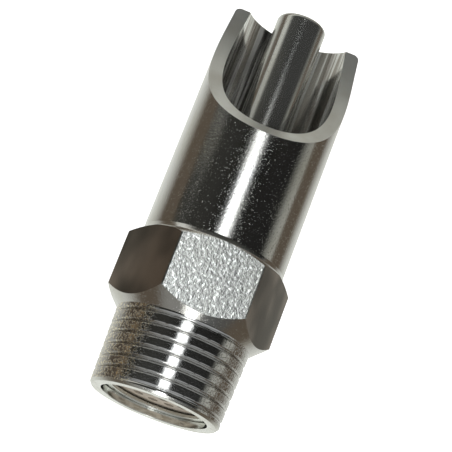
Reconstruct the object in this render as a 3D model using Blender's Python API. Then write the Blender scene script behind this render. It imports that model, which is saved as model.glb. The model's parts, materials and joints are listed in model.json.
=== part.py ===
"""Bite nipple drinker for pigs, stainless steel, with a taper pipe thread inlet.

The drinker lies on one flat of its hexagon. Its axis runs along X, with the
threaded inlet at -X and the mouth at +X. A station is a distance along that
axis, measured from the inlet end face. The origin is under the middle of the
drinker, on the surface that it lies on.
"""
import math

import bmesh
import bpy
from mathutils import Matrix, Vector

# Driving dimensions, in metres.
LENGTH = 0.0662
ROUND_STEPS = 40
SMALL_CIRCLE_STEPS = 10
GAP = 0.0003
MERGE_DISTANCE = 1e-6
CUTTER_OVERHANG = 0.005

THREAD_MAJOR_RADIUS = 0.020955 / 2
THREAD_PITCH = 0.001814
THREAD_GROOVE_DEPTH = 0.00033
THREAD_GROOVE_WIDTH = 0.00066
THREAD_GAUGE_STATION = 0.0082
THREAD_TAPER = 1 / 32
THREAD_START = 0.0005
THREAD_ROWS_PER_PITCH = 8
INLET_FACE_RADIUS = 0.0099

HEX_ACROSS_FLATS = 0.0230
HEX_START = 0.0150
HEX_END = 0.0235
HEX_END_CHAMFER = math.radians(30)

BARREL_RADIUS = 0.0113
BARREL_START = 0.0253
RIM_ROUNDING = 0.0008
RIM_STEPS = 4

COUNTERBORE_RADIUS = 0.0084
COUNTERBORE_DEPTH = 0.0045
CHAMBER_RADIUS = 0.0076
SEAT_STATION = 0.0200
PIN_HOLE_RADIUS = 0.0050
PIN_HOLE_END = 0.0245
MOUTH_RADIUS = 0.00912
DRILL_POINT = math.radians(59)

SCOOP_RADIUS = 0.0404
SCOOP_CENTRE_STATION = 0.0749
SCOOP_CENTRE_HEIGHT = 0.0356
SCOOP_TURN = math.radians(3.4)
SCOOP_STEPS = 160

GASKET_INNER_RADIUS = 0.0054
GASKET_THICKNESS = 0.0018

PIN_RADIUS = 0.0040
PIN_END = 0.0661
PIN_END_ROUNDING = 0.0009
PIN_END_STEPS = 4
HEAD_RADIUS = 0.0066
HEAD_THICKNESS = 0.0026
HEAD_CHAMFER = 0.0007
HEAD_FILLET = 0.0006
SPIGOT_RADIUS = 0.0036
SPIGOT_LENGTH = 0.0012

PLUG_START = 0.0028
PLUG_FLANGE_THICKNESS = 0.0014
PLUG_END = 0.0072
PLUG_RECESS_RADIUS = 0.0052
PLUG_RECESS_DEPTH = 0.0028
PLUG_BOSS_RADIUS = 0.0034
PLUG_BOSS_LENGTH = 0.0012
ORIFICE_RADIUS = 0.0015
GROOVE_START = 0.0050
GROOVE_WIDTH = 0.0016
GROOVE_RADIUS = 0.0060
O_RING_SECTION_RADIUS = 0.0005

SPRING_WIRE_RADIUS = 0.0004
SPRING_MEAN_RADIUS = 0.0050
SPRING_TURNS = 4.0
SPRING_DEAD_TURNS = 0.75
SPRING_DEAD_PITCH = 0.00084
SPRING_STEPS_PER_TURN = 18

STRAINER_START = 0.00205
STRAINER_THICKNESS = 0.00045
STRAINER_HOLE_RADIUS = 0.0008
STRAINER_HOLE_SPACING = 0.0025
STRAINER_HOLE_RINGS = 2

RETAINER_START = 0.0012
RETAINER_THICKNESS = 0.00055
RETAINER_INNER_RADIUS = 0.0072

# Dimensions that follow from them.
AXIS_HEIGHT = HEX_ACROSS_FLATS / 2
HEX_CORNER_RADIUS = HEX_ACROSS_FLATS / math.sqrt(3)
GASKET_START = SEAT_STATION - GAP - GASKET_THICKNESS
HEAD_FACE = GASKET_START - GAP
INLET_POINT = Vector((-LENGTH / 2, 0, AXIS_HEIGHT))


def clear_scene():
    """Remove every object that the new file opened with."""
    for item in list(bpy.data.objects):
        bpy.data.objects.remove(item, do_unlink=True)


def steel(name, colour, roughness):
    """Give a metal material with one colour and roughness."""
    material = bpy.data.materials.new(name)
    material.use_nodes = True
    shader = material.node_tree.nodes["Principled BSDF"]
    shader.inputs["Base Color"].default_value = (*colour, 1)
    shader.inputs["Metallic"].default_value = 1.0
    shader.inputs["Roughness"].default_value = roughness
    return material


def moulded(name, colour, roughness):
    """Give a plastic or rubber material with one colour and roughness."""
    material = steel(name, colour, roughness)
    material.node_tree.nodes["Principled BSDF"].inputs["Metallic"].default_value = 0.0
    return material


def new_piece(name, shape, material):
    """Turn a bmesh into an object that stands at the inlet end of the axis."""
    bmesh.ops.recalc_face_normals(shape, faces=shape.faces)
    mesh = bpy.data.meshes.new(name)
    shape.to_mesh(mesh)
    shape.free()
    mesh.shade_smooth()
    mesh.set_sharp_from_angle(angle=math.radians(30))
    mesh.materials.append(material)
    piece = bpy.data.objects.new(name, mesh)
    piece.location = INLET_POINT
    bpy.context.scene.collection.objects.link(piece)
    return piece


def turned_shape(profile, closed):
    """Spin a profile of (station, radius) points once round the X axis.

    An open profile starts and ends on the axis. A closed one makes a ring.
    """
    shape = bmesh.new()
    points = [shape.verts.new((station, 0, radius)) for station, radius in profile]
    last = len(points) if closed else len(points) - 1
    edges = [shape.edges.new((points[i], points[(i + 1) % len(points)])) for i in range(last)]
    bmesh.ops.spin(shape, geom=points + edges, cent=(0, 0, 0), axis=(1, 0, 0),
                   angle=2 * math.pi, steps=ROUND_STEPS, use_merge=True)
    bmesh.ops.remove_doubles(shape, verts=shape.verts, dist=MERGE_DISTANCE)
    return shape


def arc(centre, radius, start, end, steps):
    """Points of a circular arc in the (station, radius) plane, angles in radians."""
    angles = [start + (end - start) * i / steps for i in range(steps + 1)]
    return [(centre[0] + radius * math.cos(a), centre[1] + radius * math.sin(a)) for a in angles]


def crest_radius(station):
    """Radius over the thread's crests, which grows away from the inlet end."""
    return THREAD_MAJOR_RADIUS + (station - THREAD_GAUGE_STATION) * THREAD_TAPER


def thread_end():
    """Station where the cone under the hexagon meets the thread's crests."""
    return (HEX_START - HEX_CORNER_RADIUS + crest_radius(0)) / (1 - THREAD_TAPER)


def groove_share(phase):
    """Depth of the V groove at a share of the pitch: 1 at its root, 0 on the land."""
    from_root = abs(phase % 1.0 - 0.5) * THREAD_PITCH
    return max(0, 1 - from_root / (THREAD_GROOVE_WIDTH / 2))


def cut_thread(shape):
    """Press a shallow right-hand helical V groove into the turned blank."""
    end = thread_end()
    for vert in shape.verts:
        station = vert.co.x
        radius = math.hypot(vert.co.y, vert.co.z)
        if not THREAD_START < station < end or radius < INLET_FACE_RADIUS:
            continue
        turn = math.atan2(vert.co.y, vert.co.z) / (2 * math.pi)
        fade = min(1, (station - THREAD_START) / THREAD_PITCH, (end - station) / THREAD_PITCH)
        depth = THREAD_GROOVE_DEPTH * fade * groove_share(station / THREAD_PITCH + turn)
        scale = (radius - depth) / radius
        vert.co.y *= scale
        vert.co.z *= scale


def body_profile():
    """Outline of the turned blank: outside from inlet to mouth, then the bores."""
    end = thread_end()
    rows = int((end - THREAD_START) / THREAD_PITCH * THREAD_ROWS_PER_PITCH)
    stations = [THREAD_START + (end - THREAD_START) * i / rows for i in range(rows + 1)]
    outside = [(0, COUNTERBORE_RADIUS), (0, INLET_FACE_RADIUS)]
    outside += [(station, crest_radius(station)) for station in stations]
    flat_radius = HEX_ACROSS_FLATS / 2
    shoulder = HEX_END + (HEX_CORNER_RADIUS - flat_radius) * math.tan(HEX_END_CHAMFER)
    outside += [(HEX_START, HEX_CORNER_RADIUS), (HEX_END, HEX_CORNER_RADIUS),
                (shoulder, flat_radius), (BARREL_START, BARREL_RADIUS)]
    outside += arc((LENGTH - RIM_ROUNDING, BARREL_RADIUS - RIM_ROUNDING),
                   RIM_ROUNDING, math.pi / 2, 0, RIM_STEPS)
    cone_start = PIN_HOLE_END + (MOUTH_RADIUS - PIN_HOLE_RADIUS) / math.tan(DRILL_POINT)
    inside = [(LENGTH, MOUTH_RADIUS), (cone_start, MOUTH_RADIUS),
              (PIN_HOLE_END, PIN_HOLE_RADIUS), (SEAT_STATION, PIN_HOLE_RADIUS),
              (SEAT_STATION, CHAMBER_RADIUS), (COUNTERBORE_DEPTH, CHAMBER_RADIUS),
              (COUNTERBORE_DEPTH, COUNTERBORE_RADIUS)]
    return outside + inside


def cutter(name, shape):
    """Make a wireframe helper object that only shapes its neighbours."""
    helper = new_piece(name, shape, bpy.data.materials.new(name))
    helper.hide_render = True
    helper.display_type = "WIRE"
    return helper


def cut(piece, helper, operation):
    """Add an exact Boolean with a helper object."""
    boolean = piece.modifiers.new(helper.name, "BOOLEAN")
    boolean.operation = operation
    boolean.solver = "EXACT"
    boolean.object = helper


def hexagon_prism(start, end):
    """A hexagonal prism along X, with flats at its top and bottom."""
    shape = bmesh.new()
    along_x = Matrix.Rotation(math.pi / 2, 4, "Y")
    bmesh.ops.create_cone(shape, cap_ends=True, segments=6, radius1=HEX_CORNER_RADIUS,
                          radius2=HEX_CORNER_RADIUS, depth=end - start,
                          matrix=Matrix.Translation(((start + end) / 2, 0, 0)) @ along_x)
    return shape


def make_body(material):
    """Make the one-piece body: thread, hexagon, barrel and the scooped mouth."""
    blank = turned_shape(body_profile(), closed=True)
    cut_thread(blank)
    body = new_piece("drinker_body", blank, material)

    flats = hexagon_prism(-CUTTER_OVERHANG, LENGTH + CUTTER_OVERHANG)
    cut(body, cutter("hexagon_guide", flats), "INTERSECT")

    scoop = bmesh.new()
    bmesh.ops.create_cone(scoop, cap_ends=True, segments=SCOOP_STEPS, radius1=SCOOP_RADIUS,
                          radius2=SCOOP_RADIUS, depth=4 * BARREL_RADIUS)
    across = Matrix.Rotation(math.pi / 2, 4, "X")
    centre = Matrix.Translation((SCOOP_CENTRE_STATION, 0, SCOOP_CENTRE_HEIGHT))
    turn = Matrix.Rotation(-SCOOP_TURN, 4, "X")
    bmesh.ops.transform(scoop, verts=scoop.verts, matrix=turn @ centre @ across)
    cut(body, cutter("scoop_guide", scoop), "DIFFERENCE")
    return body


def make_pin(material):
    """Make the bite pin with its valve head, on an empty at the head's rim."""
    back = HEAD_FACE - HEAD_THICKNESS
    profile = [(back - SPIGOT_LENGTH, 0), (back - SPIGOT_LENGTH, SPIGOT_RADIUS),
               (back, SPIGOT_RADIUS), (back, HEAD_RADIUS - HEAD_CHAMFER),
               (back + HEAD_CHAMFER, HEAD_RADIUS), (HEAD_FACE, HEAD_RADIUS),
               (HEAD_FACE, PIN_RADIUS + HEAD_FILLET), (HEAD_FACE + HEAD_FILLET, PIN_RADIUS)]
    profile += arc((PIN_END - PIN_END_ROUNDING, PIN_RADIUS - PIN_END_ROUNDING),
                   PIN_END_ROUNDING, math.pi / 2, 0, PIN_END_STEPS)
    profile += [(PIN_END, 0)]
    pin = new_piece("bite_pin", turned_shape(profile, closed=False), material)
    fulcrum = bpy.data.objects.new("pin_fulcrum", None)
    fulcrum.location = INLET_POINT + Vector((HEAD_FACE, -HEAD_RADIUS, 0))
    bpy.context.scene.collection.objects.link(fulcrum)
    pin.parent = fulcrum
    pin.location = INLET_POINT - fulcrum.location
    return pin


def make_gasket(material):
    """Make the flat rubber ring that the valve head closes against."""
    outer = CHAMBER_RADIUS - GAP
    end = GASKET_START + GASKET_THICKNESS
    profile = [(GASKET_START, GASKET_INNER_RADIUS), (GASKET_START, outer),
               (end, outer), (end, GASKET_INNER_RADIUS)]
    return new_piece("seat_gasket", turned_shape(profile, closed=True), material)


def spring_station(turns, start, end):
    """Station of the wire after some turns: close at both ends, open between."""
    dead_rise = SPRING_DEAD_PITCH
    live_turns = SPRING_TURNS - 2 * SPRING_DEAD_TURNS
    live_rise = (end - start - 2 * SPRING_DEAD_TURNS * dead_rise) / live_turns
    first = min(turns, SPRING_DEAD_TURNS)
    last = max(turns - (SPRING_TURNS - SPRING_DEAD_TURNS), 0)
    return start + (first + last) * dead_rise + (turns - first - last) * live_rise


def make_spring(material):
    """Make the coil spring between the plug and the back of the valve head."""
    back = HEAD_FACE - HEAD_THICKNESS
    start = PLUG_END + GAP + SPRING_WIRE_RADIUS
    end = back - GAP - SPRING_WIRE_RADIUS
    curve = bpy.data.curves.new("valve_spring", "CURVE")
    curve.dimensions = "3D"
    curve.bevel_depth = SPRING_WIRE_RADIUS
    curve.bevel_resolution = 1
    curve.use_fill_caps = True
    count = int(SPRING_TURNS * SPRING_STEPS_PER_TURN)
    spline = curve.splines.new("POLY")
    spline.points.add(count)
    for i, point in enumerate(spline.points):
        turns = SPRING_TURNS * i / count
        angle = 2 * math.pi * turns
        point.co = (spring_station(turns, start, end), SPRING_MEAN_RADIUS * math.cos(angle),
                    SPRING_MEAN_RADIUS * math.sin(angle), 1)
    curve.materials.append(material)
    spring = bpy.data.objects.new("valve_spring", curve)
    spring.location = INLET_POINT
    bpy.context.scene.collection.objects.link(spring)
    return spring


def make_plug(material):
    """Make the flow plug: flange, O-ring groove, spring boss and one orifice."""
    flange_end = PLUG_START + PLUG_FLANGE_THICKNESS
    flange = COUNTERBORE_RADIUS - GAP
    land = CHAMBER_RADIUS - GAP
    groove_end = GROOVE_START + GROOVE_WIDTH
    boss_end = PLUG_END + PLUG_BOSS_LENGTH
    floor = PLUG_START + PLUG_RECESS_DEPTH
    profile = [(PLUG_START, PLUG_RECESS_RADIUS), (PLUG_START, flange), (flange_end, flange),
               (flange_end, land), (GROOVE_START, land), (GROOVE_START, GROOVE_RADIUS),
               (groove_end, GROOVE_RADIUS), (groove_end, land), (PLUG_END, land),
               (PLUG_END, PLUG_BOSS_RADIUS), (boss_end, PLUG_BOSS_RADIUS),
               (boss_end, ORIFICE_RADIUS), (floor, ORIFICE_RADIUS),
               (floor, PLUG_RECESS_RADIUS)]
    return new_piece("flow_plug", turned_shape(profile, closed=True), material)


def make_o_ring(material):
    """Make the O-ring in the plug's groove."""
    centre = (GROOVE_START + GROOVE_WIDTH / 2, GROOVE_RADIUS + GAP + O_RING_SECTION_RADIUS)
    profile = arc(centre, O_RING_SECTION_RADIUS, 0, 2 * math.pi, SMALL_CIRCLE_STEPS)[:-1]
    return new_piece("plug_o_ring", turned_shape(profile, closed=True), material)


def strainer_hole_places():
    """Places of the strainer's holes: one in the middle and rings of 6, 12 and so on."""
    places = [(0.0, 0.0)]
    for ring in range(1, STRAINER_HOLE_RINGS + 1):
        for i in range(6 * ring):
            angle = 2 * math.pi * i / (6 * ring)
            radius = ring * STRAINER_HOLE_SPACING
            places.append((radius * math.cos(angle), radius * math.sin(angle)))
    return places


def make_strainer(material):
    """Make the perforated disc that keeps grit out of the valve."""
    end = STRAINER_START + STRAINER_THICKNESS
    outer = COUNTERBORE_RADIUS - GAP
    profile = [(STRAINER_START, 0), (STRAINER_START, outer), (end, outer), (end, 0)]
    strainer = new_piece("strainer_disc", turned_shape(profile, closed=False), material)
    drills = bmesh.new()
    along_x = Matrix.Rotation(math.pi / 2, 4, "Y")
    middle = STRAINER_START + STRAINER_THICKNESS / 2
    for y, z in strainer_hole_places():
        bmesh.ops.create_cone(drills, cap_ends=True, segments=SMALL_CIRCLE_STEPS,
                              radius1=STRAINER_HOLE_RADIUS, radius2=STRAINER_HOLE_RADIUS,
                              depth=4 * STRAINER_THICKNESS,
                              matrix=Matrix.Translation((middle, y, z)) @ along_x)
    cut(strainer, cutter("strainer_drills", drills), "DIFFERENCE")
    return strainer


def make_retainer(material):
    """Make the flat ring pressed into the counterbore over the strainer."""
    outer = COUNTERBORE_RADIUS - GAP
    end = RETAINER_START + RETAINER_THICKNESS
    profile = [(RETAINER_START, RETAINER_INNER_RADIUS), (RETAINER_START, outer),
               (end, outer), (end, RETAINER_INNER_RADIUS)]
    return new_piece("retaining_ring", turned_shape(profile, closed=True), material)


def main():
    """Build every piece of the drinker."""
    clear_scene()
    make_body(steel("polished_stainless", (0.60, 0.60, 0.57), 0.18))
    make_pin(steel("ground_stainless", (0.55, 0.56, 0.54), 0.22))
    make_spring(steel("spring_wire", (0.50, 0.50, 0.50), 0.30))
    make_retainer(steel("pressed_ring", (0.62, 0.61, 0.58), 0.30))
    make_strainer(steel("strainer_sheet", (0.45, 0.42, 0.38), 0.45))
    make_gasket(moulded("nitrile_rubber", (0.02, 0.02, 0.02), 0.60))
    make_o_ring(moulded("o_ring_rubber", (0.02, 0.02, 0.02), 0.50))
    make_plug(moulded("acetal_plastic", (0.75, 0.74, 0.70), 0.40))


main()
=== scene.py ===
"""Finished look of a stainless steel bite nipple drinker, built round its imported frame.

The drinker lies on one flat of its hexagon. Its axis runs along X, with the
threaded inlet at -X, the mouth at +X and the scooped opening on top. A station
is a distance along that axis, measured from the inlet's end face.
"""
import json
import math

import bmesh
import bpy
from bpy.props import FloatProperty, FloatVectorProperty, IntProperty, PointerProperty
from mathutils import Matrix, Vector

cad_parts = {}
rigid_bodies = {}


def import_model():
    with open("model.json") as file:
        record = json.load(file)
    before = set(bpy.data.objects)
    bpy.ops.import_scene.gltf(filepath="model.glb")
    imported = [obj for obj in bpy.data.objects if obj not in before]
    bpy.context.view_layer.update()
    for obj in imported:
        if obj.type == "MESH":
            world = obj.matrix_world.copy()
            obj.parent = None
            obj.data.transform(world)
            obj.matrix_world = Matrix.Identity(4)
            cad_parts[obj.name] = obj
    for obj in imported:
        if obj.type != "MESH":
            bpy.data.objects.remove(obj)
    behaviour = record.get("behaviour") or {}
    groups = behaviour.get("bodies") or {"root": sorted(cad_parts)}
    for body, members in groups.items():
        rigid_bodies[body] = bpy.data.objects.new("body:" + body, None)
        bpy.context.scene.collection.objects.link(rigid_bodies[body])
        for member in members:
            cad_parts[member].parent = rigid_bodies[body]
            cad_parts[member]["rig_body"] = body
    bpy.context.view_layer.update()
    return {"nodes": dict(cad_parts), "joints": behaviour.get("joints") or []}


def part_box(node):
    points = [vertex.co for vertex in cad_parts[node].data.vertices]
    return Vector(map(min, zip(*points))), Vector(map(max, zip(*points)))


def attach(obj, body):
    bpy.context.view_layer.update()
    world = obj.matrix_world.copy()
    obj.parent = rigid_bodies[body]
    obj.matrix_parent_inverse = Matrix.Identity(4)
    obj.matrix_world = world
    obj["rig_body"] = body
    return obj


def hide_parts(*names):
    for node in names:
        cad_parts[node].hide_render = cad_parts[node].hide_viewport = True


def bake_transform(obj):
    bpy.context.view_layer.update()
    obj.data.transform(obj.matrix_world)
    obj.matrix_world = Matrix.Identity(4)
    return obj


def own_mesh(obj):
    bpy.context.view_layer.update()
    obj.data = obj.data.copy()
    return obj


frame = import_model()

bl_info = {
    "name": "Bite nipple drinker",
    "version": (1, 0, 0),
    "blender": (4, 5, 0),
    "location": "3D View > Sidebar > Drinker",
    "description": "Models and finishes the pieces of a bite nipple drinker",
    "category": "Mesh",
}

BODY_LOW, BODY_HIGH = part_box("drinker_body")
LENGTH = BODY_HIGH.x - BODY_LOW.x
ACROSS_FLATS = BODY_HIGH.z - BODY_LOW.z
AXIS_POINT = Vector((BODY_LOW.x, 0, ACROSS_FLATS / 2))
TO_PLACE = Matrix.Translation(AXIS_POINT)
ALONG_X = Matrix.Rotation(math.pi / 2, 4, "Y")
MICRON = 1e-6
SHARP_ANGLE = math.radians(40)
DRILL_HALF_ANGLE = math.radians(59)

# Segments of the round shapes.
ROUND_STEPS = 240
EDGE_STEPS = 4
PIN_EDGE_STEPS = 8
THREAD_ROWS_PER_PITCH = 30
SCOOP_STEPS = 480
COIL_STEPS = 48
WIRE_STEPS = 16
O_RING_STEPS = 24
HOLE_STEPS = 32

# Finishes of the body after the barrel's own, in the order of its material slots.
TOP_FLAT, SIDE_FLAT, THREAD, SCOOP, BORE, INLET_FACE = range(1, 7)


def length(name, default, description):
    """A property that holds a size in metres."""
    return FloatProperty(name=name, description=description, default=default, min=0,
                         precision=5, unit="LENGTH")


def colour(name, default, description):
    """A property that holds a linear colour."""
    return FloatVectorProperty(name=name, description=description, default=default,
                               size=3, min=0, max=1, subtype="COLOR")


def factor(name, default, description):
    """A property that holds a share from 0 to 1."""
    return FloatProperty(name=name, description=description, default=default,
                         min=0, max=1, subtype="FACTOR")


def stations(node):
    """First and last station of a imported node."""
    low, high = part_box(node)
    return low.x - AXIS_POINT.x, high.x - AXIS_POINT.x


def outer_radius(node):
    """Largest radius of a packed round node."""
    low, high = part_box(node)
    return (high.z - low.z) / 2


# Sizes and colours that a user would change.

class BodySizes(bpy.types.PropertyGroup):
    """Sizes of the one-piece body"""
    thread_start: length("Thread start", 0.0004, "Station where the thread starts")
    thread_radius: length("Thread radius", 0.020955 / 2, "Radius over the crests at the gauge")
    thread_gauge: length("Gauge station", 0.0082, "Station where the thread has that radius")
    thread_pitch: length("Thread pitch", 0.001814, "Distance between two crests")
    groove_depth: length("Groove depth", 0.00033, "Depth of the thread's V groove")
    groove_width: length("Groove width", 0.00066, "Width of that groove between its lands")
    thread_taper: FloatProperty(name="Thread taper", default=1 / 32, min=0,
                                description="Growth of the radius for each unit of length")
    inlet_radius: length("Inlet face radius", 0.0099, "Outer radius of the flat inlet face")
    hexagon_start: length("Hexagon start", 0.0150, "Station where the hexagon starts")
    hexagon_end: length("Hexagon end", 0.0235, "Station where the end chamfer starts")
    hexagon_chamfer: FloatProperty(name="Hexagon chamfer", default=math.radians(30),
                                   subtype="ANGLE", description="Slope of the end chamfer")
    corner_land: length("Corner land", 0.00008, "What is turned off the hexagon's corners")
    barrel_start: length("Barrel start", 0.0253, "Station where the plain barrel starts")
    barrel_radius: length("Barrel radius", 0.0113, "Outer radius of the barrel")
    mouth_radius: length("Mouth radius", 0.00912, "Radius of the mouth bore")
    counterbore_radius: length("Counterbore radius", 0.0084, "Radius behind the inlet face")
    counterbore_depth: length("Counterbore depth", 0.0045, "Depth of the counterbore")
    chamber_radius: length("Chamber radius", 0.0076, "Radius of the valve chamber")
    seat_station: length("Seat station", 0.0200, "Station of the web that seats the valve")
    pin_hole_radius: length("Pin hole radius", 0.0050, "Radius of the hole in the web")
    pin_hole_end: length("Pin hole end", 0.0245, "Station where the mouth's drill cone starts")
    scoop_radius: length("Scoop radius", 0.0404, "Radius of the cutter that opens the mouth")
    scoop_station: length("Scoop station", 0.0749, "Station of that cutter's axis")
    scoop_height: length("Scoop height", 0.0356, "Height of that axis above the drinker's")
    scoop_turn: FloatProperty(name="Scoop turn", default=math.radians(3.4), subtype="ANGLE",
                              description="Turn of the scoop round the drinker's axis")
    rim_rounding: length("Rim rounding", 0.0008, "Rounding of the mouth's outer rim")
    edge_break: length("Edge break", 0.00015, "Rounding of turned edges")


class ValveSizes(bpy.types.PropertyGroup):
    """Sizes of the pin, the spring, the plug and the other small pieces"""
    pin_radius: length("Pin radius", 0.0040, "Radius of the bite pin")
    pin_rounding: length("Pin rounding", 0.0009, "Rounding of the pin's free end")
    head_thickness: length("Head thickness", 0.0026, "Thickness of the pin's valve head")
    head_chamfer: length("Head chamfer", 0.0007, "Chamfer behind the valve head's rim")
    spigot_radius: length("Spigot radius", 0.0036, "Radius of the end that centres the spring")
    spigot_length: length("Spigot length", 0.0012, "Length of that end")
    gasket_inner_radius: length("Gasket inner radius", 0.0054, "Radius of the gasket's hole")
    spring_wire: length("Wire radius", 0.0004, "Radius of the spring's wire")
    spring_turns: FloatProperty(name="Spring turns", default=4.0, min=1,
                                description="Turns of wire in the spring")
    spring_dead_turns: FloatProperty(name="Dead turns", default=0.75, min=0,
                                     description="Closed turns at each end of the spring")
    spring_dead_pitch: length("Dead pitch", 0.00084, "Rise of the spring in one closed turn")
    spring_split: factor("Spring split", 0.62, "Share of the live turns that shortens")
    flange_thickness: length("Flange thickness", 0.0014, "Thickness of the plug's flange")
    recess_radius: length("Recess radius", 0.0052, "Radius of the plug's inlet recess")
    recess_depth: length("Recess depth", 0.0028, "Depth of that recess")
    boss_radius: length("Boss radius", 0.0034, "Radius of the boss that centres the spring")
    boss_length: length("Boss length", 0.0012, "Length of that boss")
    orifice_radius: length("Orifice radius", 0.0015, "Radius of the hole that sets the flow")
    groove_start: length("Groove start", 0.0050, "Station where the O-ring groove starts")
    groove_width: length("Groove width", 0.0016, "Width of that groove")
    groove_radius: length("Groove radius", 0.0060, "Radius at the bottom of that groove")
    hole_radius: length("Strainer hole radius", 0.0008, "Radius of the strainer's holes")
    hole_spacing: length("Strainer hole spacing", 0.0025, "Distance between rings of holes")
    hole_rings: IntProperty(name="Strainer hole rings", default=2, min=0,
                            description="Rings of holes round the middle one")
    ring_inner_radius: length("Ring inner radius", 0.0072, "Radius of the retaining ring's hole")
    edge_break: length("Edge break", 0.0001, "Rounding of the small pieces' edges")


class FinishColours(bpy.types.PropertyGroup):
    """Colours of the metals, the rubber and the plastic"""
    steel: colour("Steel", (0.70, 0.70, 0.68), "Bright turned stainless steel")
    warm_steel: colour("Warm steel", (0.64, 0.63, 0.57), "Steel with a thin film of dirt")
    ground_steel: colour("Ground steel", (0.66, 0.67, 0.64), "The pin's ground surface")
    milled_steel: colour("Milled steel", (0.80, 0.81, 0.77), "The scoop's milled surface")
    # Side flats: a steel tint with a painted brown reflection in it.
    brown_reflection_steel: colour("Brown steel", (0.44, 0.39, 0.34), "The hexagon's smooth flats")
    # Painted shade: dark patches painted on the side flats.
    painted_dark_patch: colour("Scorched steel", (0.14, 0.13, 0.11), "Dark patches on those flats")
    scaled_steel: colour("Scaled steel", (0.42, 0.43, 0.41), "The hexagon's pitted top flat")
    pale_scale: colour("Pale scale", (0.46, 0.47, 0.44), "Paler patches on that flat")
    # Painted glints: bright flecks painted on the top flat.
    painted_glint: colour("Bright fleck", (0.78, 0.80, 0.77), "Glittering flecks on that flat")
    # Painted shade in the thread's groove, painted dark reflection on one side of the thread and in
    # the mouth's bore, and real crust on the strainer.
    shade_and_grime_steel: colour("Dark steel", (0.30, 0.28, 0.25), "Grime in the thread and the bores")
    # Painted reflection: golden grains painted on one side of the thread.
    golden_reflection: colour("Golden stain", (0.84, 0.78, 0.62), "Stained grains on the thread")
    wire_steel: colour("Wire steel", (0.50, 0.50, 0.50), "The spring's drawn wire")
    sheet_steel: colour("Sheet steel", (0.46, 0.40, 0.32), "The strainer's stamped sheet")
    rubber: colour("Rubber", (0.020, 0.020, 0.020), "Nitrile rubber")
    plastic: colour("Plastic", (0.72, 0.70, 0.64), "Natural acetal plastic")
    polish: factor("Polish roughness", 0.12, "Roughness of the polished steel")


class StageSettings(bpy.types.PropertyGroup):
    """The floor, the light and the camera"""
    floor_size: length("Floor size", 3.0, "Side of the floor")
    floor_depth: length("Floor depth", 0.0001, "Gap between the drinker and the floor")
    floor_colour: colour("Floor", (0.93, 0.93, 0.93), "Colour of the plain floor")
    floor_glow: factor("Floor glow", 0.75, "Soft light from under the floor")
    card_depth: length("Card depth", 0.0004, "Gap between the drinker and the mirrored card")
    card_glow: factor("Card glow", 0.90, "Strength of the light from that card")
    room_light: FloatProperty(name="Room light", default=0.95, min=0,
                              description="Strength of the soft light from all round")
    camera_place: FloatVectorProperty(name="Camera place", subtype="TRANSLATION",
                                      default=(-0.08196, 0.02738, 0.27224),
                                      description="Where the camera stands")
    camera_turn: FloatVectorProperty(name="Camera turn", subtype="EULER", description="Its turn",
                                     default=[math.radians(a) for a in (13.55, -11.68, -69.24)])
    camera_lens: FloatProperty(name="Lens", default=142.5, min=1, subtype="DISTANCE_CAMERA",
                               description="Focal length in millimetres")


# Shader maths.

class Wire:
    """A shader socket that arithmetic can be written on."""

    def __init__(self, tree, socket):
        self.tree = tree
        self.socket = socket

    def maths(self, operation, *values):
        """Adds a Math node that works on wires and numbers."""
        return node(self.tree, "Math", {"operation": operation}, dict(enumerate(values)))

    def __add__(self, other):
        return self.maths("ADD", self, other)

    def __radd__(self, other):
        return self.maths("ADD", other, self)

    def __sub__(self, other):
        return self.maths("SUBTRACT", self, other)

    def __rsub__(self, other):
        return self.maths("SUBTRACT", other, self)

    def __mul__(self, other):
        return self.maths("MULTIPLY", self, other)

    def __rmul__(self, other):
        return self.maths("MULTIPLY", other, self)

    def __truediv__(self, other):
        return self.maths("DIVIDE", self, other)

    def __rtruediv__(self, other):
        return self.maths("DIVIDE", other, self)

    def __pow__(self, other):
        return self.maths("POWER", self, other)

    def __rpow__(self, other):
        return self.maths("POWER", other, self)

    def __abs__(self):
        return self.maths("ABSOLUTE", self)


def node(tree, kind, settings=None, sockets=None, output=0):
    """Adds a shader node with its settings, then its sockets, and returns an output."""
    made = tree.nodes.new("ShaderNode" + kind)
    for name, value in (settings or {}).items():
        setattr(made, name, value)
    for key, value in (sockets or {}).items():
        if isinstance(value, Wire):
            tree.links.new(value.socket, made.inputs[key])
        else:
            made.inputs[key].default_value = value
    return Wire(tree, made.outputs[output]) if made.outputs else None


def parts(vector):
    """The three numbers of a vector wire."""
    split = node(vector.tree, "SeparateXYZ", None, {0: vector}).socket.node
    return [Wire(vector.tree, socket) for socket in split.outputs]


def step(value, low, high):
    """Smooth step of a wire, from 0 at low to 1 at high."""
    return node(value.tree, "MapRange", {"interpolation_type": "SMOOTHSTEP"},
                {"Value": value, "From Min": low, "From Max": high})


def blend(share, first, second):
    """Mixes two colours, each a wire or three numbers, by a wire from 0 to 1."""
    first, second = [c if isinstance(c, Wire) else (*c, 1) for c in (first, second)]
    return node(share.tree, "Mix", {"data_type": "RGBA"}, {0: share, 6: first, 7: second},
                output=2)


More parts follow.
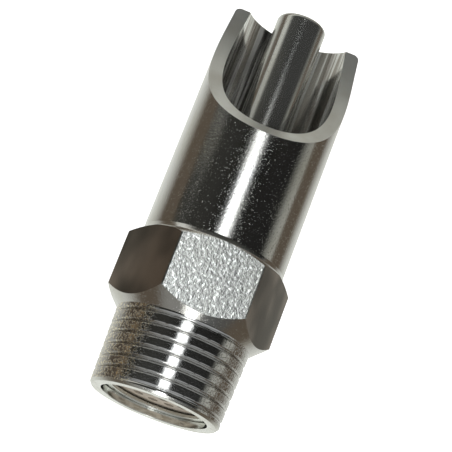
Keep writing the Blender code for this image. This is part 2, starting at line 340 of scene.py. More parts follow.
class Finish:
    """A material being built round one Principled shader."""

    def __init__(self, name, metallic=1.0):
        self.material = bpy.data.materials.new(name)
        self.material.use_nodes = True
        self.tree = self.material.node_tree
        self.shader = self.tree.nodes["Principled BSDF"]
        self.shader.inputs["Metallic"].default_value = metallic
        place = node(self.tree, "TexCoord", output="Object")
        self.place = node(self.tree, "Mapping", None, {"Vector": place, "Location": -AXIS_POINT})
        self.station, self.side, self.height = parts(self.place)
        self.radius = (self.side ** 2 + self.height ** 2) ** 0.5

    def noise(self, scale, stretch=(1, 1, 1), detail=2.0, roughness=0.5):
        """Noise from 0 to 1 with scale features to the metre, squeezed along each axis."""
        vector = node(self.tree, "VectorMath", {"operation": "MULTIPLY"},
                      {0: self.place, 1: stretch})
        return node(self.tree, "TexNoise", {"noise_dimensions": "3D"},
                    {"Vector": vector, "Scale": scale, "Detail": detail,
                     "Roughness": roughness})

    def line_noise(self, value, scale, detail=3.0):
        """Noise from 0 to 1 that changes only with one wire."""
        return node(self.tree, "TexNoise", {"noise_dimensions": "1D"},
                    {"W": value, "Scale": scale, "Detail": detail})

    def bump(self, height, depth, under=None):
        """Normal of a height wire from 0 to 1, depth metres high, over another normal."""
        sockets = {"Strength": 1.0, "Distance": depth, "Height": height}
        if under:
            sockets["Normal"] = under
        return node(self.tree, "Bump", None, sockets)

    def apply(self, **wires):
        """Feeds the shader's sockets, named with _ for each space, and gives the material."""
        for name, value in wires.items():
            socket = self.shader.inputs[name.replace("_", " ").title()]
            if isinstance(value, Wire):
                self.tree.links.new(value.socket, socket)
            else:
                socket.default_value = value
        return self.material


# Finishes.

def turned_steel(name, tint, film, roughness, line_depth=0.4 * MICRON, grain_depth=11 * MICRON,
                 lines=9000.0, metallic=1.0):
    """Steel turned in a lathe: rings round the axis, small dents and a film of dirt."""
    finish = Finish(name, metallic)
    rings = finish.line_noise(finish.station + finish.radius, lines)
    grain = finish.noise(3000.0, detail=3.0, roughness=0.65)
    dents = step(finish.noise(4000.0, detail=1.0), 0.63, 0.76)
    cloud = finish.noise(260.0, stretch=(0.35, 1, 1), detail=4.0)
    dirt = step(cloud, 0.38, 0.70)
    normal = finish.bump(rings, line_depth)
    normal = finish.bump(grain, grain_depth, under=normal)
    normal = finish.bump(dents, grain_depth, under=normal)
    return finish.apply(base_color=blend(dirt * 0.7 + dents * 0.3, tint, film),
                        roughness=roughness + 0.05 * dirt + 0.08 * (grain - 0.5),
                        normal=normal)


def hexagon_steel(name, tint, film, glint_colour, glint_share, grain_depth):
    """Drawn bar with a pitted skin, cloudy patches of a second colour and, where asked, bright
    flecks that are painted glints.
    """
    finish = Finish(name)
    grain = finish.noise(2300.0, detail=3.0, roughness=0.65)
    pits = finish.noise(1400.0, detail=2.0)
    # Painted glints: flecks of the glint colour, a little smoother than the rest.
    glint_specks = step(finish.noise(1900.0, detail=2.0), 0.54, 0.66)
    # Cloudy patches of the second colour; on the side flats these patches are painted shade.
    patch = step(finish.noise(120.0, stretch=(0.7, 1, 1), detail=2.0), 0.32, 0.64)
    normal = finish.bump(pits, 0.7 * grain_depth)
    normal = finish.bump(grain, grain_depth, under=normal)
    return finish.apply(base_color=blend(glint_specks * glint_share, blend(patch, tint, film), glint_colour),
                        roughness=0.23 + 0.04 * patch - 0.14 * glint_share * glint_specks,
                        normal=normal)


def thread_steel(sizes, colours):
    """Thread with bright lands, painted shade that darkens the groove, and painted reflection on
    one side: a darker tint with golden grains.
    """
    finish = Finish("thread_steel")
    crest = sizes.thread_radius + (finish.station - sizes.thread_gauge) * sizes.thread_taper
    depth = (crest - finish.radius) / sizes.groove_depth
    speckle = finish.noise(1900.0, detail=3.0, roughness=0.7)
    # Painted shade: the deeper into the groove, the darker.
    groove_shade = step(depth + 0.5 * (speckle - 0.5), 0.55, 1.2)
    rings = finish.line_noise(finish.station, 16000.0)
    across = finish.side / finish.radius
    flank = step(abs(across), 0.45, 0.68)
    # Painted reflection: one side is painted darker, with golden grains.
    one_side_reflection = step(across, 0.30, 0.60)
    grains = step(finish.noise(2600.0, detail=2.0), 0.46, 0.62) * (0.05 + 0.95 * flank)
    normal = finish.bump(rings, 0.5 * MICRON)
    normal = finish.bump(grains, 28 * MICRON, under=normal)
    steel = blend(one_side_reflection * grains, blend(0.45 * one_side_reflection, colours.steel, colours.shade_and_grime_steel),
                  colours.golden_reflection)
    return finish.apply(base_color=blend(groove_shade, steel, colours.shade_and_grime_steel),
                        roughness=0.11 + 0.14 * groove_shade, normal=normal)


def bore_steel(colours):
    """Reamed bore over faint rings; in the mouth, dark streaks along the axis are painted
    reflection, and the rest is less metallic and pale.
    """
    finish = Finish("bore_steel")
    streaks = finish.noise(1000.0, stretch=(0.03, 1, 1), detail=2.0)
    blotch = step(finish.noise(420.0, stretch=(0.3, 1, 1), detail=3.0), 0.42, 0.62)
    mouth = step(finish.station, 0.020, 0.026)
    # Painted reflection: dark streaks along the axis, only in the mouth.
    dark = step(streaks, 0.40, 0.55) * mouth
    normal = finish.bump(finish.line_noise(finish.station, 3500.0), 0.5 * MICRON)
    normal = finish.bump(streaks * mouth, 12 * MICRON, under=normal)
    return finish.apply(base_color=blend(0.75 * dark + 0.25 * blotch, colours.milled_steel,
                                         colours.shade_and_grime_steel),
                        roughness=0.10 + 0.08 * dark, metallic=1 - 0.3 * (1 - dark) * mouth,
                        normal=normal)


def milled_steel(sizes, colours):
    """Scoop surface: fine curved tool marks across the cut, with a dull sheen."""
    finish = Finish("milled_steel")
    marks = finish.line_noise(finish.station + 0.2 * finish.height, 5200.0, detail=2.0)
    grain = finish.noise(2400.0, detail=3.0, roughness=0.6)
    patch = step(finish.noise(220.0, detail=2.0), 0.36, 0.68)
    normal = finish.bump(marks, 5 * MICRON)
    normal = finish.bump(grain, 6 * MICRON, under=normal)
    return finish.apply(base_color=blend(patch * 0.6, colours.milled_steel, colours.warm_steel),
                        roughness=0.34 + 0.10 * grain, normal=normal)


def scaled_sheet(name, tint, film):
    """Stamped sheet under a thin brownish film of limescale."""
    finish = Finish(name, metallic=0.3)
    grain = finish.noise(3000.0, detail=3.0)
    crust = step(finish.noise(700.0, detail=4.0), 0.35, 0.70)
    return finish.apply(base_color=blend(crust * 0.6, tint, film),
                        roughness=0.55 + 0.2 * crust, normal=finish.bump(grain, 8 * MICRON))


def drawn_wire(name, tint, film):
    """Drawn spring wire: fine grain and a faint brown bloom."""
    finish = Finish(name)
    grain = finish.noise(4200.0, detail=2.0)
    bloom = step(finish.noise(600.0, detail=3.0), 0.4, 0.7)
    return finish.apply(base_color=blend(bloom * 0.6, tint, film),
                        roughness=0.24 + 0.14 * bloom, normal=finish.bump(grain, 3 * MICRON))


def rubber(name, tint):
    """Moulded nitrile rubber: matte, finely grained, with a dusty bloom."""
    finish = Finish(name, metallic=0.0)
    grain = finish.noise(3200.0, detail=3.0)
    dust = step(finish.noise(500.0, detail=4.0), 0.45, 0.75)
    pale = tuple(3 * c for c in tint)
    return finish.apply(base_color=blend(dust * 0.6, tint, pale),
                        roughness=0.52 + 0.20 * dust, normal=finish.bump(grain, 5 * MICRON))


def moulded_plastic(name, tint):
    """Machined acetal: faint turning lines and a slightly uneven tint."""
    finish = Finish(name, metallic=0.0)
    rings = finish.line_noise(finish.station + finish.radius, 6000.0)
    cloud = step(finish.noise(300.0, detail=3.0), 0.35, 0.7)
    shade = tuple(0.82 * c for c in tint)
    return finish.apply(base_color=blend(cloud, tint, shade), roughness=0.34 + 0.10 * rings,
                        normal=finish.bump(rings, 3 * MICRON))


# Modelling.

def rounded(corners, steps=EDGE_STEPS):
    """Outline through (station, radius, rounding) corners, each one rounded off."""
    points = [Vector(corner[:2]) for corner in corners]
    outline = []
    for i, (corner, (_, _, rounding)) in enumerate(zip(points, corners)):
        if not rounding:
            outline.append(corner)
            continue
        before = (points[i - 1] - corner).normalized()
        after = (points[(i + 1) % len(points)] - corner).normalized()
        half = before.angle(after) / 2
        middle = corner + (before + after).normalized() * (rounding / math.sin(half))
        start = corner + before * (rounding / math.tan(half)) - middle
        end = corner + after * (rounding / math.tan(half)) - middle
        for k in range(steps + 1):
            arm = start.lerp(end, k / steps).normalized() * rounding
            outline.append(middle + arm)
    return outline


def turned(outline, closed=True):
    """Spins an outline once round the X axis: a ring if closed, else from axis to axis."""
    shape = bmesh.new()
    points = [shape.verts.new((station, 0, radius)) for station, radius in outline]
    pairs = zip(points, points[1:] + points[:1]) if closed else zip(points, points[1:])
    edges = [shape.edges.new(pair) for pair in pairs]
    bmesh.ops.spin(shape, geom=points + edges, cent=(0, 0, 0), axis=(1, 0, 0),
                   angle=2 * math.pi, steps=ROUND_STEPS, use_merge=True)
    bmesh.ops.remove_doubles(shape, verts=shape.verts, dist=MICRON)
    bmesh.ops.recalc_face_normals(shape, faces=shape.faces)
    return shape


def flat_ring(node_name, inner, edge):
    """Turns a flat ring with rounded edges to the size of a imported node."""
    start, end = stations(node_name)
    outer = outer_radius(node_name)
    return turned(rounded([(start, inner, edge), (start, outer, edge),
                           (end, outer, edge), (end, inner, edge)]))


def shade(shape):
    """Smooth faces, with hard edges at sharp angles and between two finishes."""
    for face in shape.faces:
        face.smooth = True
    for edge in shape.edges:
        finishes = {face.material_index for face in edge.link_faces}
        edge.smooth = len(finishes) == 1 and edge.calc_face_angle(0) < SHARP_ANGLE


def add_piece(name, shape, *finishes):
    """Puts a shape in the scene as an object, at its place in the row frame."""
    shade(shape)
    mesh = bpy.data.meshes.new(name)
    bmesh.ops.transform(shape, matrix=TO_PLACE, verts=shape.verts)
    shape.to_mesh(mesh)
    shape.free()
    for finish in finishes:
        mesh.materials.append(finish)
    piece = bpy.data.objects.new(name, mesh)
    bpy.context.scene.collection.objects.link(piece)
    return piece


def fit(piece, node_name):
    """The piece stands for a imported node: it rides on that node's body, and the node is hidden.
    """
    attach(piece, frame["nodes"][node_name]["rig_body"])
    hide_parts(node_name)


def carve(shape, cutting):
    """Takes one closed shape out of another and returns what is left."""
    block = add_piece("blank", shape)
    tool = add_piece("tool", cutting)
    boolean = block.modifiers.new("carve", "BOOLEAN")
    boolean.operation = "DIFFERENCE"
    boolean.solver = "EXACT"
    boolean.object = tool
    bpy.context.view_layer.update()
    carved = block.evaluated_get(bpy.context.evaluated_depsgraph_get())
    left = bmesh.new()
    left.from_mesh(carved.to_mesh())
    carved.to_mesh_clear()
    bmesh.ops.remove_doubles(left, verts=left.verts, dist=0.2 * MICRON)
    bmesh.ops.transform(left, matrix=TO_PLACE.inverted(), verts=left.verts)
    for helper in (block, tool):
        mesh = helper.data
        bpy.data.objects.remove(helper)
        bpy.data.meshes.remove(mesh)
    return left


def crest_radius(sizes, station):
    """Radius over the thread's crests, which grows away from the inlet end."""
    return sizes.thread_radius + (station - sizes.thread_gauge) * sizes.thread_taper


def thread_end(sizes):
    """Station where the 45 degree cone under the hexagon meets the crests."""
    corner = ACROSS_FLATS / math.sqrt(3)
    return (sizes.hexagon_start - corner + crest_radius(sizes, 0)) / (1 - sizes.thread_taper)


def groove_share(sizes, phase):
    """Depth of the V groove at a share of the pitch: 1 at its rounded root, 0 on the land."""
    from_root = abs(phase % 1.0 - 0.5) * 2 * sizes.thread_pitch / sizes.groove_width
    wall = max(0, 1 - from_root)
    return wall * (1.06 - 0.06 * wall ** 4)


def cut_thread(shape, sizes):
    """Presses the right-hand helix into the rows of the blank."""
    start, end = sizes.thread_start, thread_end(sizes)
    run_in, run_out = 0.5 * sizes.thread_pitch, 0.4 * sizes.thread_pitch
    for vert in shape.verts:
        station = vert.co.x
        radius = vert.co.yz.length
        if not start < station < end or radius < crest_radius(sizes, station) - 10 * MICRON:
            continue
        turn = math.atan2(vert.co.y, vert.co.z) / (2 * math.pi)
        fade = min(1, (station - start) / run_in, (end - station) / run_out)
        share = groove_share(sizes, station / sizes.thread_pitch + turn)
        vert.co.yz *= (radius - sizes.groove_depth * fade * share) / radius


def body_outline(sizes):
    """Section of the turned blank: outside from inlet to mouth, then the bores."""
    start, end = sizes.thread_start, thread_end(sizes)
    rows = int((end - start) / sizes.thread_pitch * THREAD_ROWS_PER_PITCH)
    thread = [start + (end - start) * i / rows for i in range(rows + 1)]
    corner = ACROSS_FLATS / math.sqrt(3)
    land = corner - sizes.corner_land
    flat = ACROSS_FLATS / 2
    shoulder = sizes.hexagon_end + (corner - flat) * math.tan(sizes.hexagon_chamfer)
    cone = (sizes.mouth_radius - sizes.pin_hole_radius) / math.tan(DRILL_HALF_ANGLE)
    edge = sizes.edge_break
    outside = [(0, sizes.counterbore_radius, edge), (0, sizes.inlet_radius, edge)]
    outside += [(station, crest_radius(sizes, station), 0) for station in thread]
    outside += [(sizes.hexagon_start - sizes.corner_land, land, 0),
                (sizes.hexagon_end, land, edge), (shoulder, flat, 3 * edge),
                (sizes.barrel_start, sizes.barrel_radius, 2 * edge),
                (LENGTH, sizes.barrel_radius, sizes.rim_rounding),
                (LENGTH, sizes.mouth_radius, edge)]
    inside = [(sizes.pin_hole_end + cone, sizes.mouth_radius, edge),
              (sizes.pin_hole_end, sizes.pin_hole_radius, edge),
              (sizes.seat_station, sizes.pin_hole_radius, edge),
              (sizes.seat_station, sizes.chamber_radius, 0),
              (sizes.counterbore_depth, sizes.chamber_radius, edge),
              (sizes.counterbore_depth, sizes.counterbore_radius, 0)]
    return rounded(outside + inside)


def cut_flats(shape):
    """Mills the hexagon's six flats and closes each with one face."""
    for side in range(6):
        angle = side * math.pi / 3
        outward = Vector((0, math.sin(angle), math.cos(angle)))
        geometry = list(shape.verts) + list(shape.edges) + list(shape.faces)
        cut = bmesh.ops.bisect_plane(shape, geom=geometry, dist=0.1 * MICRON,
                                     plane_co=outward * (ACROSS_FLATS / 2 - MICRON),
                                     plane_no=outward, clear_outer=True)
        rim = [item for item in cut["geom_cut"] if isinstance(item, bmesh.types.BMEdge)]
        filled = bmesh.ops.contextual_create(shape, geom=rim)
        for face in filled["faces"]:
            face.material_index = TOP_FLAT if side == 0 else SIDE_FLAT


def scoop_cutter(sizes):
    """Round cutter whose side opens the mouth, across the drinker's axis."""
    cutter = bmesh.new()
    across = Matrix.Rotation(math.pi / 2, 4, "X")
    centre = Matrix.Translation((sizes.scoop_station, 0, sizes.scoop_height))
    bmesh.ops.create_cone(cutter, cap_ends=True, segments=SCOOP_STEPS, radius1=sizes.scoop_radius,
                          radius2=sizes.scoop_radius, depth=4 * sizes.barrel_radius,
                          matrix=Matrix.Rotation(-sizes.scoop_turn, 4, "X") @ centre @ across)
    for face in cutter.faces:
        face.material_index = SCOOP
    return cutter


def mark_finishes(shape, sizes):
    """Gives each face outside the flats and the scoop the finish of its region."""
    end = thread_end(sizes)
    for face in shape.faces:
        if face.material_index:
            continue
        centre = face.calc_center_median()
        if centre.yz.length < sizes.mouth_radius + 2 * MICRON and centre.x > sizes.edge_break:
            face.material_index = BORE
        elif centre.x < sizes.thread_start:
            face.material_index = INLET_FACE
        elif centre.x < end:
            face.material_index = THREAD


def build_body(sizes, colours):
    """Turns, threads, mills and scoops the one-piece body."""
    blank = turned(body_outline(sizes))
    cut_thread(blank, sizes)
    cut_flats(blank)
    shape = carve(blank, scoop_cutter(sizes))
    mark_finishes(shape, sizes)
    return add_piece(
        "body_shell", shape,
        turned_steel("barrel_steel", colours.steel, colours.warm_steel, colours.polish),
        # The top flat is the lit copy of the hexagon's steel, with painted glints.
        hexagon_steel("top_flat_steel", colours.scaled_steel, colours.pale_scale,
                      colours.painted_glint, glint_share=0.55, grain_depth=42 * MICRON),
        # The side flats are the shaded copy: a painted brown reflection and painted dark patches.
        hexagon_steel("side_flat_steel", colours.brown_reflection_steel, colours.painted_dark_patch,
                      colours.painted_glint, glint_share=0.0, grain_depth=1.5 * MICRON),
        thread_steel(sizes, colours),
        milled_steel(sizes, colours),
        bore_steel(colours),
        turned_steel("inlet_face_steel", colours.milled_steel, colours.warm_steel, 0.20,
                     line_depth=1 * MICRON, lines=6000.0))


def build_pin(sizes, colours):
    """Turns the bite pin with its valve head and spring spigot."""
    start, end = stations("bite_pin")
    back = start + sizes.spigot_length
    face = back + sizes.head_thickness
    head = outer_radius("bite_pin")
    edge = sizes.edge_break
    outline = rounded([(start, 0, 0), (start, sizes.spigot_radius, 2 * edge),
                       (back, sizes.spigot_radius, edge),
                       (back, head - sizes.head_chamfer, edge),
                       (back + sizes.head_chamfer, head, edge), (face, head, edge),
                       (face, sizes.pin_radius, 5 * edge),
                       (end, sizes.pin_radius, sizes.pin_rounding), (end, 0, 0)],
                      steps=PIN_EDGE_STEPS)
    return add_piece("pin_shaft", turned(outline, closed=False),
                     turned_steel("pin_steel", colours.ground_steel, colours.warm_steel, 0.13,
                                  grain_depth=3 * MICRON, metallic=0.95))


def build_gasket(sizes, colours):
    """Moulds the flat seat gasket with soft edges."""
    shape = flat_ring("seat_gasket", sizes.gasket_inner_radius, 2 * sizes.edge_break)
    return add_piece("gasket_ring", shape, rubber("gasket_rubber", colours.rubber))


def section_ring(shape, place, radius, steps):
    """Round section at a place, with the edges between its points."""
    made = bmesh.ops.create_circle(shape, segments=steps, radius=radius, matrix=place)
    return made["verts"] + list({edge for vert in made["verts"] for edge in vert.link_edges})


def edges_of(geometry):
    """The edges in a list of mixed geometry."""
    return [item for item in geometry if isinstance(item, bmesh.types.BMEdge)]


def wind(sizes, station, turned_by, stretches):
    """Winds one closed length of the spring's wire through (turns, rise) stretches."""
    low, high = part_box("valve_spring")
    coil_radius = (high.y - low.y) / 2 - sizes.spring_wire
    shape = bmesh.new()
    place = Matrix.Rotation(2 * math.pi * turned_by, 4, "X")
    place = place @ Matrix.Translation((station, coil_radius, 0))
    section = section_ring(shape, place, sizes.spring_wire, WIRE_STEPS)
    ends = [edges_of(section)]
    for turns, rise in stretches:
        steps = round(COIL_STEPS * turns)
        wound = bmesh.ops.spin(shape, geom=section, cent=(0, 0, 0), axis=(1, 0, 0),
                               dvec=(rise / steps, 0, 0), angle=2 * math.pi * turns,
                               steps=steps, use_merge=False)
        section = wound["geom_last"]
    ends.append(edges_of(section))
    for rim in ends:
        bmesh.ops.contextual_create(shape, geom=rim)
    bmesh.ops.recalc_face_normals(shape, faces=shape.faces)
    return shape


def build_spring(sizes, colours):
    """Winds the spring in two lengths and returns them, with the station where they meet and the
    one where the front length's closed turns start.
    """
    start, end = stations("valve_spring")
    wire = sizes.spring_wire
    dead = (sizes.spring_dead_turns, sizes.spring_dead_pitch * sizes.spring_dead_turns)
    live = (sizes.spring_turns - 2 * dead[0], end - start - 2 * wire - 2 * dead[1])
    share = sizes.spring_split
    back = [dead, (live[0] * share, live[1] * share)]
    front = [(live[0] * (1 - share), live[1] * (1 - share)), dead]
    turns, rise = [sum(pair) for pair in zip(*back)]
    meeting = start + wire + rise
    finish = drawn_wire("wire_steel", colours.wire_steel, colours.warm_steel)
    return (add_piece("spring_back", wind(sizes, start + wire, 0, back), finish),
            add_piece("spring_front", wind(sizes, meeting, turns, front), finish),
            meeting, end - 2 * wire - dead[1])


def build_plug(sizes, colours):
    """Turns the flow plug: flange, O-ring groove, spring boss and orifice."""
    start, boss_end = stations("flow_plug")
    end = boss_end - sizes.boss_length
    flange_end = start + sizes.flange_thickness
    flange = outer_radius("flow_plug")
    land = outer_radius("seat_gasket")
    groove_end = sizes.groove_start + sizes.groove_width
    floor = start + sizes.recess_depth
    edge = sizes.edge_break
    outline = rounded([(start, sizes.recess_radius, 2 * edge), (start, flange, edge),
                       (flange_end, flange, edge), (flange_end, land, edge),
                       (sizes.groove_start, land, edge),
                       (sizes.groove_start, sizes.groove_radius, edge),
                       (groove_end, sizes.groove_radius, edge), (groove_end, land, edge),
                       (end, land, edge), (end, sizes.boss_radius, edge),
                       (boss_end, sizes.boss_radius, edge),
                       (boss_end, sizes.orifice_radius, edge),
                       (floor, sizes.orifice_radius, edge),
                       (floor, sizes.recess_radius, 2 * edge)])
    return add_piece("plug_core", turned(outline),
                     moulded_plastic("plug_plastic", colours.plastic))


def build_o_ring(sizes, colours):
    """Moulds the O-ring that sits in the plug's groove."""
    start, end = stations("plug_o_ring")
    section = (end - start) / 2
    middle = outer_radius("plug_o_ring") - section
    shape = bmesh.new()
    place = Matrix.Translation((start + section, 0, middle)) @ Matrix.Rotation(math.pi / 2, 4, "X")
    bmesh.ops.spin(shape, geom=section_ring(shape, place, section, O_RING_STEPS),
                   cent=(0, 0, 0), axis=(1, 0, 0), angle=2 * math.pi, steps=ROUND_STEPS,
                   use_merge=True)
    bmesh.ops.recalc_face_normals(shape, faces=shape.faces)
    return add_piece("o_ring_loop", shape, rubber("o_ring_rubber", colours.rubber))


def build_strainer(sizes, colours):
    """Stamps the strainer disc with rings of round holes."""
    start, end = stations("strainer_disc")
    outer = outer_radius("strainer_disc")
    edge = sizes.edge_break
    disc = turned(rounded([(start, 0, 0), (start, outer, edge), (end, outer, edge),
                           (end, 0, 0)]), closed=False)
    punches = bmesh.new()
    for ring in range(sizes.hole_rings + 1):
        holes = max(1, 6 * ring)
        out = Matrix.Translation(((start + end) / 2, ring * sizes.hole_spacing, 0))
        for i in range(holes):
            around = Matrix.Rotation(2 * math.pi * i / holes, 4, "X")
            bmesh.ops.create_cone(punches, cap_ends=True, segments=HOLE_STEPS,
                                  radius1=sizes.hole_radius, radius2=sizes.hole_radius,
                                  depth=4 * (end - start), matrix=around @ out @ ALONG_X)
    return add_piece("strainer_sheet", carve(disc, punches),
                     scaled_sheet("sheet_steel", colours.sheet_steel, colours.shade_and_grime_steel))


def build_ring(sizes, colours):
    """Stamps the flat ring that holds the strainer in."""
    shape = flat_ring("retaining_ring", sizes.ring_inner_radius, sizes.edge_break)
    return add_piece("retainer_ring", shape,
                     turned_steel("ring_steel", colours.milled_steel, colours.warm_steel, 0.26))


# Stage.

# What the steel mirrors, as the colour of the light from there.
ROOM_DARK = (0.010, 0.010, 0.009)
ROOM_DIM = (0.030, 0.030, 0.026)
GREY_WALL = (0.44, 0.44, 0.40)
BROWN_WALL = (0.34, 0.25, 0.15)
OVERHEAD_GLOW = (0.40, 0.41, 0.42)
MOUTH_END_GLOW = (1.0, 1.0, 0.94)
INLET_END_GLOW = (1.0, 0.97, 0.90)
STRIP_LIGHT = (4.2, 4.3, 4.4)
WINDOW_LIGHT = (3.0, 3.0, 3.0)
CARD_MIDDLE = (0.98, 1.0, 0.95)
CARD_OUTSIDE = (0.135, 0.108, 0.082)


def lay_sheet(name, size, depth):
    """Lays a flat square of the stage, some depth under the drinker."""
    shape = bmesh.new()
    bmesh.ops.create_grid(shape, x_segments=1, y_segments=1, size=size / 2,
                          matrix=Matrix.Translation((0, 0, -depth)))
    mesh = bpy.data.meshes.new(name)
    shape.to_mesh(mesh)
    shape.free()
    sheet = bpy.data.objects.new(name, mesh)
    bpy.context.scene.collection.objects.link(sheet)
    return sheet


def build_floor(settings):
    """Lays the plain pale floor, which glows a little and isn't mirrored."""
    floor = lay_sheet("floor", settings.floor_size, settings.floor_depth)
    finish = Finish("floor_paint", metallic=0.0)
    mottle = finish.noise(30.0, detail=2.0)
    pale = tuple(settings.floor_colour)
    worn = tuple(0.95 * c for c in pale)
    floor.data.materials.append(finish.apply(
        base_color=blend(mottle * 0.1, pale, worn), roughness=0.8,
        emission_color=(*pale, 1), emission_strength=settings.floor_glow))
    floor.visible_glossy = False


def build_card(settings):
    """Lays the card that the steel mirrors from below: pale in the middle, brown outside."""
    card = lay_sheet("reflector_card", settings.floor_size, settings.card_depth)
    material = bpy.data.materials.new("card_glow")
    material.use_nodes = True
    tree = material.node_tree
    tree.nodes.clear()
    place = node(tree, "TexCoord", output="Object")
    flat = node(tree, "VectorMath", {"operation": "MULTIPLY"}, {0: place, 1: (0.35, 1, 0)})
    reach = node(tree, "VectorMath", {"operation": "LENGTH"}, {0: flat}, output="Value")
    tint = blend(step(reach, 0.008, 0.050), CARD_MIDDLE, CARD_OUTSIDE)
    glow = node(tree, "Emission", None, {"Color": tint, "Strength": settings.card_glow})
    node(tree, "OutputMaterial", None, {"Surface": glow})
    card.data.materials.append(material)
    card.visible_camera = False
    card.visible_diffuse = False


def mirrored_room(towards):
    """Colour of the room in a direction: dark, with one long strip light over the drinker."""
    x, y, z = parts(towards)
    rise = z.maths("MAXIMUM", z, 0.05)
    slope, lean = x / rise, y / rise
    strip = step(z, 0.30, 0.40) * (1 - step(abs(lean - 0.055), 0.03, 0.20))
    strip = strip * step(slope, -0.25, -0.1) * (1 - step(slope, 0.35, 0.40))
    window = step(-1 * x, 0.80, 0.93) * (1 - step(abs(y), 0.05, 0.17)) * step(z, 0.0, 0.12)
    low = 1 - step(z - 0.24 * y, 0.02, 0.30)
    mouth_end = 0.70 * step(x, 0.335, 0.46) * low + 0.15 * step(x, 0.6, 0.95)
    inlet_end = 0.24 * step(-1 * x, 0.60, 0.95) * low
    overhead = step(0.16 - x, 0.0, 0.22) * step(z, 0.0, 0.6)
    room = blend(step(y, 0.1, 0.8), ROOM_DARK, ROOM_DIM)
    for share, light in ((step(-1 * y, 0.86, 0.97), GREY_WALL),
                         (step(y, 0.955, 1.0), BROWN_WALL), (overhead, OVERHEAD_GLOW),
                         (mouth_end, MOUTH_END_GLOW), (inlet_end, INLET_END_GLOW),
                         (strip, STRIP_LIGHT), (window, WINDOW_LIGHT)):
        room = blend(share, room, light)
    return room


def light_room(settings):
    """Soft white light from all round, which the steel sees as the mirrored room."""
    world = bpy.data.worlds.new("studio")
    bpy.context.scene.world = world
    world.use_nodes = True
    tree = world.node_tree
    tree.nodes.clear()
    mirrored = node(tree, "LightPath", output="Is Glossy Ray")
    room = mirrored_room(node(tree, "TexCoord", output="Generated"))
    strength = mirrored + (1 - mirrored) * settings.room_light
    light = node(tree, "Background", None,
                 {"Color": blend(mirrored, (1.0, 1.0, 1.0), room), "Strength": strength})
    node(tree, "OutputWorld", None, {"Surface": light})


def place_camera(settings):
    """Stands the camera over the drinker, on the inlet's side."""
    camera = bpy.data.objects.new("camera", bpy.data.cameras.new("camera"))
    camera.location = settings.camera_place
    camera.rotation_euler = settings.camera_turn
    camera.data.lens = settings.camera_lens
    camera.data.clip_start, camera.data.clip_end = 0.01, 10.0
    bpy.context.scene.collection.objects.link(camera)
    bpy.context.scene.camera = camera


# Operators.

def build_piece(build, node_name, sizes):
    """Builds one piece and fits it in the frame."""
    fit(build(sizes, bpy.context.scene.drinker_colours), node_name)
    return {"FINISHED"}


class DRINKER_OT_body(bpy.types.Operator):
    """Make the one-piece body with its thread, hexagon, barrel and scooped mouth"""
    bl_idname = "drinker.body"
    bl_label = "Body"

    def execute(self, context):
        return build_piece(build_body, "drinker_body", context.scene.drinker_body)


class DRINKER_OT_pin(bpy.types.Operator):
    """Make the bite pin with its valve head"""
    bl_idname = "drinker.pin"
    bl_label = "Bite pin"

    def execute(self, context):
        return build_piece(build_pin, "bite_pin", context.scene.drinker_valve)


class DRINKER_OT_gasket(bpy.types.Operator):
    """Make the flat gasket that the valve head closes against"""
    bl_idname = "drinker.gasket"
    bl_label = "Seat gasket"

    def execute(self, context):
        return build_piece(build_gasket, "seat_gasket", context.scene.drinker_valve)


class DRINKER_OT_spring(bpy.types.Operator):
    """Make the coil spring in two lengths"""
    bl_idname = "drinker.spring"
    bl_label = "Valve spring"

    def execute(self, context):
        scene = context.scene
        back, front, meeting, lean_end = build_spring(scene.drinker_valve, scene.drinker_colours)
        body, pin_body = [frame["nodes"][name]["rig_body"] for name in ("valve_spring", "bite_pin")]
        push = next(joint for joint in frame["joints"] if joint["name"] == "pin_push")
        left = 1 - max(push["range_m"]) / (meeting - stations("valve_spring")[0])
        meeting, lean_end = [AXIS_POINT + Vector((x, 0, 0)) for x in (meeting, lean_end)]
        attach(back, body)
        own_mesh(back)
        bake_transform(front)
        for piece in (back, front):
            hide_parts("valve_spring")
        return {"FINISHED"}


class DRINKER_OT_plug(bpy.types.Operator):
    """Make the flow plug and its O-ring"""
    bl_idname = "drinker.plug"
    bl_label = "Flow plug"

    def execute(self, context):
        sizes = context.scene.drinker_valve
        build_piece(build_plug, "flow_plug", sizes)
        return build_piece(build_o_ring, "plug_o_ring", sizes)


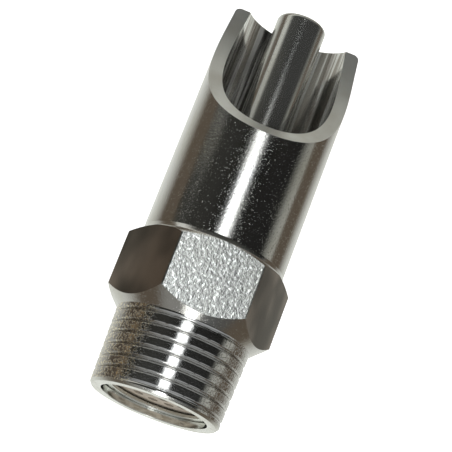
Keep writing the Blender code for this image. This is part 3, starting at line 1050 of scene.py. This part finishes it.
class DRINKER_OT_strainer(bpy.types.Operator):
    """Make the strainer disc and the ring that holds it in"""
    bl_idname = "drinker.strainer"
    bl_label = "Strainer"

    def execute(self, context):
        sizes = context.scene.drinker_valve
        build_piece(build_strainer, "strainer_disc", sizes)
        return build_piece(build_ring, "retaining_ring", sizes)


class DRINKER_OT_stage(bpy.types.Operator):
    """Make the floor, the soft light and the camera"""
    bl_idname = "drinker.stage"
    bl_label = "Stage"

    def execute(self, context):
        settings = context.scene.drinker_stage
        build_floor(settings)
        build_card(settings)
        light_room(settings)
        place_camera(settings)
        context.scene.view_settings.view_transform = "Standard"
        return {"FINISHED"}


OPERATORS = (DRINKER_OT_body, DRINKER_OT_pin, DRINKER_OT_gasket, DRINKER_OT_spring,
             DRINKER_OT_plug, DRINKER_OT_strainer, DRINKER_OT_stage)
GROUPS = {"drinker_body": BodySizes, "drinker_valve": ValveSizes,
          "drinker_colours": FinishColours, "drinker_stage": StageSettings}


class DRINKER_PT_panel(bpy.types.Panel):
    """Lists the drinker's pieces and its sizes"""
    bl_label = "Bite nipple drinker"
    bl_idname = "DRINKER_PT_panel"
    bl_space_type = "VIEW_3D"
    bl_region_type = "UI"
    bl_category = "Drinker"

    def draw(self, context):
        for operator in OPERATORS:
            self.layout.operator(operator.bl_idname)
        for name, group in GROUPS.items():
            box = self.layout.box()
            for size in group.__annotations__:
                box.prop(getattr(context.scene, name), size)


CLASSES = (*GROUPS.values(), *OPERATORS, DRINKER_PT_panel)


def register():
    """Adds the classes, and their sizes and colours to every scene."""
    for item in CLASSES:
        bpy.utils.register_class(item)
    for name, group in GROUPS.items():
        setattr(bpy.types.Scene, name, PointerProperty(type=group))


def unregister():
    """Takes the sizes, the colours and the classes away again."""
    for name in GROUPS:
        delattr(bpy.types.Scene, name)
    for item in reversed(CLASSES):
        bpy.utils.unregister_class(item)


def main():
    """Registers the add-on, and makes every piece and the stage."""
    register()
    for operator in OPERATORS:
        getattr(bpy.ops.drinker, operator.bl_idname.split(".")[1])()


if __name__ == "__main__":
    main()
